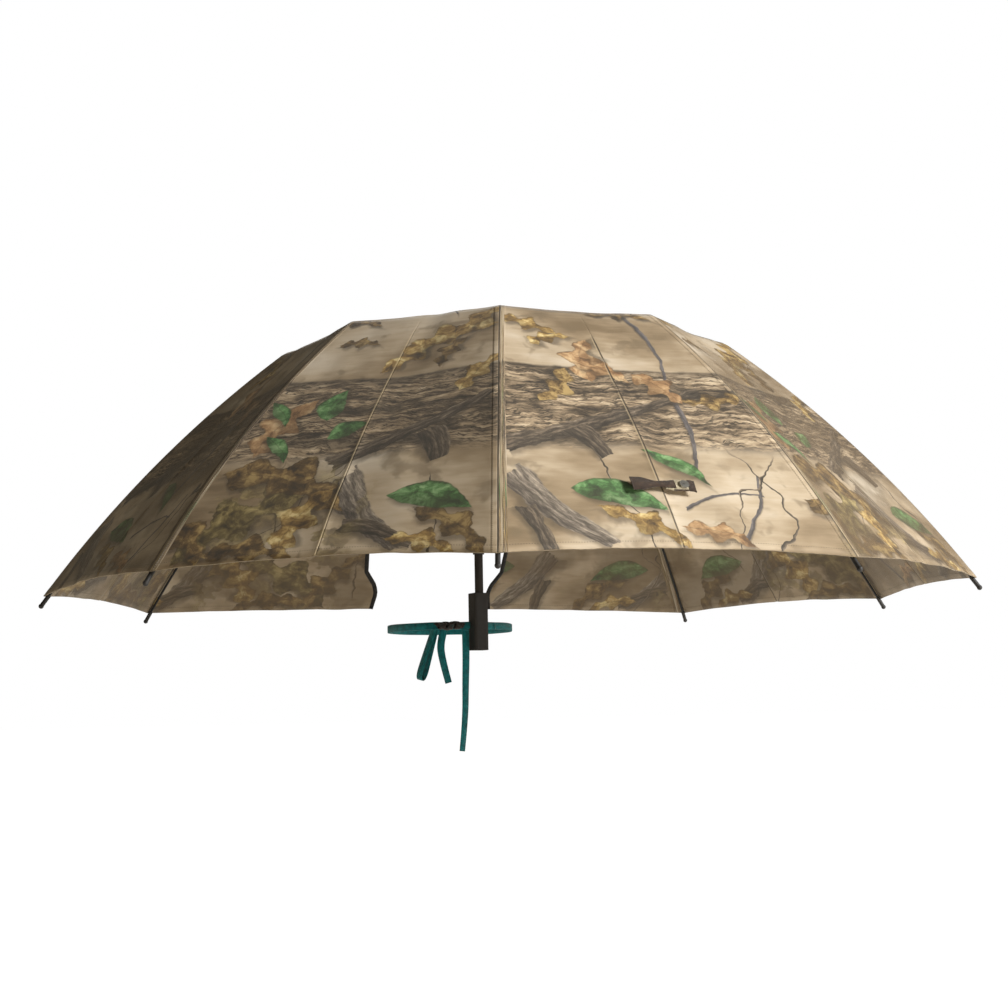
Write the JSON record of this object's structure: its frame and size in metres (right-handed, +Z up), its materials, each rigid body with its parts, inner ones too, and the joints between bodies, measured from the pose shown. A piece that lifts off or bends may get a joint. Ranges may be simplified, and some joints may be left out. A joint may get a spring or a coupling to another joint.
{
  "type": "tree stand umbrella",
  "caption": "Folding camouflage rain canopy on an offset post that a woven strap ties to a tree trunk, with a bay left open for the trunk.",
  "frame": {"origin": "centre of the tree strap: on the tree trunk's axis, at the middle of the strap's width", "axes": "+Z up along the trunk; -Y from the trunk towards the front of the canopy; +X to the right seen from the front"},
  "size_m": [1.4282, 1.168, 0.6754],
  "materials": {
    "canopy_camo": "matt coated polyester printed with a bark, twig and leaf pattern",
    "frame_black": "black enamelled spring steel",
    "tube_black": "dark brown-black powder coat",
    "moulded_black": "moulded, lightly textured",
    "strap_teal": "flat woven tape",
    "snap_metal": "plated press stud"
  },
  "bodies": {
    "mast": {"shaft": "tube_black", "offset_arm": "tube_black", "shaft_socket": "moulded_black", "post_socket": "moulded_black", "post": "tube_black", "grip": "moulded_black", "crown_hub": "moulded_black", "crown_ring": "frame_black", "top_cap": "moulded_black", "canopy_top": "canopy_camo", "tree_strap": "strap_teal", "strap_knot": "strap_teal", "strap_loop": "strap_teal", "short_tail": "strap_teal", "long_tail": "strap_teal"},
    "runner": {"runner": "moulded_black"},
    "arm_1": {"inner_arm_1": "frame_black"},
    "rib_1": {"outer_rib_1": "frame_black", "rib_tip_1": "moulded_black", "canopy_skirt_1": "canopy_camo"},
    "stretcher_1_body": {"stretcher_1": "frame_black"},
    "arm_2": {"inner_arm_2": "frame_black"},
    "rib_2": {"outer_rib_2": "frame_black", "rib_tip_2": "moulded_black", "canopy_skirt_2": "canopy_camo"},
    "stretcher_2_body": {"stretcher_2": "frame_black"},
    "arm_3": {"inner_arm_3": "frame_black"},
    "rib_3": {"outer_rib_3": "frame_black", "rib_tip_3": "moulded_black", "canopy_skirt_3": "canopy_camo"},
    "stretcher_3_body": {"stretcher_3": "frame_black"},
    "arm_4": {"inner_arm_4": "frame_black"},
    "rib_4": {"outer_rib_4": "frame_black", "rib_tip_4": "moulded_black", "canopy_skirt_4": "canopy_camo"},
    "stretcher_4_body": {"stretcher_4": "frame_black"},
    "arm_5": {"inner_arm_5": "frame_black"},
    "rib_5": {"outer_rib_5": "frame_black", "rib_tip_5": "moulded_black", "canopy_skirt_5": "canopy_camo", "closure_strap": "canopy_camo", "snap_button": "snap_metal"},
    "stretcher_5_body": {"stretcher_5": "frame_black"},
    "arm_6": {"inner_arm_6": "frame_black"},
    "rib_6": {"outer_rib_6": "frame_black", "rib_tip_6": "moulded_black", "canopy_skirt_6": "canopy_camo"},
    "stretcher_6_body": {"stretcher_6": "frame_black"},
    "arm_7": {"inner_arm_7": "frame_black"},
    "rib_7": {"outer_rib_7": "frame_black", "rib_tip_7": "moulded_black", "canopy_skirt_7": "canopy_camo"},
    "stretcher_7_body": {"stretcher_7": "frame_black"},
    "arm_8": {"inner_arm_8": "frame_black"},
    "rib_8": {"outer_rib_8": "frame_black", "rib_tip_8": "moulded_black", "canopy_skirt_8": "canopy_camo"},
    "stretcher_8_body": {"stretcher_8": "frame_black"}
  },
  "joints": [
    {"name": "runner_slide", "type": "slide", "parent": "mast", "child": "runner", "axis": [0, 0, -1], "range_m": [0, 0.1375], "deforming": ["canopy_skirt_1", "canopy_skirt_2", "canopy_skirt_3", "canopy_skirt_4", "canopy_skirt_5", "canopy_skirt_6", "canopy_skirt_7", "canopy_skirt_8", "canopy_top", "closure_strap", "snap_button"]},
    {"name": "arm_fold_1", "type": "hinge", "parent": "mast", "child": "arm_1", "pos_m": [-0.0117, -0.33909, 0.442], "axis": [-0.682, -0.7314, 0], "range_deg": [0, 82]},
    {"name": "rib_fold_1", "type": "hinge", "parent": "arm_1", "child": "rib_1", "pos_m": [-0.25378, -0.11335, 0.413], "axis": [0.682, 0.7314, 0], "range_deg": [0, 40.7]},
    {"name": "stretcher_fold_1", "type": "hinge", "parent": "arm_1", "child": "stretcher_1_body", "pos_m": [-0.08456, -0.27115, 0.43327], "axis": [0.682, 0.7314, 0], "range_deg": [0, 129.71]},
    {"name": "arm_fold_2", "type": "hinge", "parent": "mast", "child": "arm_2", "pos_m": [-0.01594, -0.34861, 0.442], "axis": [-0.0872, -0.9962, 0], "range_deg": [0, 82]},
    {"name": "rib_fold_2", "type": "hinge", "parent": "arm_2", "child": "rib_2", "pos_m": [-0.34568, -0.31976, 0.413], "axis": [0.0872, 0.9962, 0], "range_deg": [0, 40.7]},
    {"name": "stretcher_fold_2", "type": "hinge", "parent": "arm_2", "child": "stretcher_2_body", "pos_m": [-0.11518, -0.33992, 0.43327], "axis": [0.0872, 0.9962, 0], "range_deg": [0, 129.71]},
    {"name": "arm_fold_3", "type": "hinge", "parent": "mast", "child": "arm_3", "pos_m": [-0.01342, -0.35871, 0.442], "axis": [0.5446, -0.8387, 0], "range_deg": [0, 82]},
    {"name": "rib_fold_3", "type": "hinge", "parent": "arm_3", "child": "rib_3", "pos_m": [-0.29102, -0.53899, 0.413], "axis": [-0.5446, 0.8387, 0], "range_deg": [0, 40.7]},
    {"name": "stretcher_fold_3", "type": "hinge", "parent": "arm_3", "child": "stretcher_3_body", "pos_m": [-0.09697, -0.41297, 0.43327], "axis": [-0.5446, 0.8387, 0], "range_deg": [0, 129.71]},
    {"name": "arm_fold_4", "type": "hinge", "parent": "mast", "child": "arm_4", "pos_m": [-0.00521, -0.36513, 0.442], "axis": [0.9455, -0.3256, 0], "range_deg": [0, 82]},
    {"name": "rib_fold_4", "type": "hinge", "parent": "arm_4", "child": "rib_4", "pos_m": [-0.11297, -0.6781, 0.413], "axis": [-0.9455, 0.3256, 0], "range_deg": [0, 40.7]},
    {"name": "stretcher_fold_4", "type": "hinge", "parent": "arm_4", "child": "stretcher_4_body", "pos_m": [-0.03764, -0.45932, 0.43327], "axis": [-0.9455, 0.3256, 0], "range_deg": [0, 129.71]},
    {"name": "arm_fold_5", "type": "hinge", "parent": "mast", "child": "arm_5", "pos_m": [0.00521, -0.36513, 0.442], "axis": [0.9455, 0.3256, 0], "range_deg": [0, 82]},
    {"name": "rib_fold_5", "type": "hinge", "parent": "arm_5", "child": "rib_5", "pos_m": [0.11297, -0.6781, 0.413], "axis": [-0.9455, -0.3256, 0], "range_deg": [0, 40.7]},
    {"name": "stretcher_fold_5", "type": "hinge", "parent": "arm_5", "child": "stretcher_5_body", "pos_m": [0.03764, -0.45932, 0.43327], "axis": [-0.9455, -0.3256, 0], "range_deg": [0, 129.71]},
    {"name": "arm_fold_6", "type": "hinge", "parent": "mast", "child": "arm_6", "pos_m": [0.01342, -0.35871, 0.442], "axis": [0.5446, 0.8387, 0], "range_deg": [0, 82]},
    {"name": "rib_fold_6", "type": "hinge", "parent": "arm_6", "child": "rib_6", "pos_m": [0.29102, -0.53899, 0.413], "axis": [-0.5446, -0.8387, 0], "range_deg": [0, 40.7]},
    {"name": "stretcher_fold_6", "type": "hinge", "parent": "arm_6", "child": "stretcher_6_body", "pos_m": [0.09697, -0.41297, 0.43327], "axis": [-0.5446, -0.8387, 0], "range_deg": [0, 129.71]},
    {"name": "arm_fold_7", "type": "hinge", "parent": "mast", "child": "arm_7", "pos_m": [0.01594, -0.34861, 0.442], "axis": [-0.0872, 0.9962, 0], "range_deg": [0, 82]},
    {"name": "rib_fold_7", "type": "hinge", "parent": "arm_7", "child": "rib_7", "pos_m": [0.34568, -0.31976, 0.413], "axis": [0.0872, -0.9962, 0], "range_deg": [0, 40.7]},
    {"name": "stretcher_fold_7", "type": "hinge", "parent": "arm_7", "child": "stretcher_7_body", "pos_m": [0.11518, -0.33992, 0.43327], "axis": [0.0872, -0.9962, 0], "range_deg": [0, 129.71]},
    {"name": "arm_fold_8", "type": "hinge", "parent": "mast", "child": "arm_8", "pos_m": [0.0117, -0.33909, 0.442], "axis": [-0.682, 0.7314, 0], "range_deg": [0, 82]},
    {"name": "rib_fold_8", "type": "hinge", "parent": "arm_8", "child": "rib_8", "pos_m": [0.25378, -0.11335, 0.413], "axis": [0.682, -0.7314, 0], "range_deg": [0, 40.7]},
    {"name": "stretcher_fold_8", "type": "hinge", "parent": "arm_8", "child": "stretcher_8_body", "pos_m": [0.08456, -0.27115, 0.43327], "axis": [0.682, -0.7314, 0], "range_deg": [0, 129.71]}
  ],
  "couplings": [
    {"joint": "arm_fold_1", "follows": "runner_slide", "rad_per_m": 10.408},
    {"joint": "rib_fold_1", "follows": "runner_slide", "rad_per_m": 5.1662},
    {"joint": "stretcher_fold_1", "follows": "runner_slide", "rad_per_m": 16.464},
    {"joint": "arm_fold_2", "follows": "runner_slide", "rad_per_m": 10.408},
    {"joint": "rib_fold_2", "follows": "runner_slide", "rad_per_m": 5.1662},
    {"joint": "stretcher_fold_2", "follows": "runner_slide", "rad_per_m": 16.464},
    {"joint": "arm_fold_3", "follows": "runner_slide", "rad_per_m": 10.408},
    {"joint": "rib_fold_3", "follows": "runner_slide", "rad_per_m": 5.1662},
    {"joint": "stretcher_fold_3", "follows": "runner_slide", "rad_per_m": 16.464},
    {"joint": "arm_fold_4", "follows": "runner_slide", "rad_per_m": 10.408},
    {"joint": "rib_fold_4", "follows": "runner_slide", "rad_per_m": 5.1662},
    {"joint": "stretcher_fold_4", "follows": "runner_slide", "rad_per_m": 16.464},
    {"joint": "arm_fold_5", "follows": "runner_slide", "rad_per_m": 10.408},
    {"joint": "rib_fold_5", "follows": "runner_slide", "rad_per_m": 5.1662},
    {"joint": "stretcher_fold_5", "follows": "runner_slide", "rad_per_m": 16.464},
    {"joint": "arm_fold_6", "follows": "runner_slide", "rad_per_m": 10.408},
    {"joint": "rib_fold_6", "follows": "runner_slide", "rad_per_m": 5.1662},
    {"joint": "stretcher_fold_6", "follows": "runner_slide", "rad_per_m": 16.464},
    {"joint": "arm_fold_7", "follows": "runner_slide", "rad_per_m": 10.408},
    {"joint": "rib_fold_7", "follows": "runner_slide", "rad_per_m": 5.1662},
    {"joint": "stretcher_fold_7", "follows": "runner_slide", "rad_per_m": 16.464},
    {"joint": "arm_fold_8", "follows": "runner_slide", "rad_per_m": 10.408},
    {"joint": "rib_fold_8", "follows": "runner_slide", "rad_per_m": 5.1662},
    {"joint": "stretcher_fold_8", "follows": "runner_slide", "rad_per_m": 16.464}
  ]
}
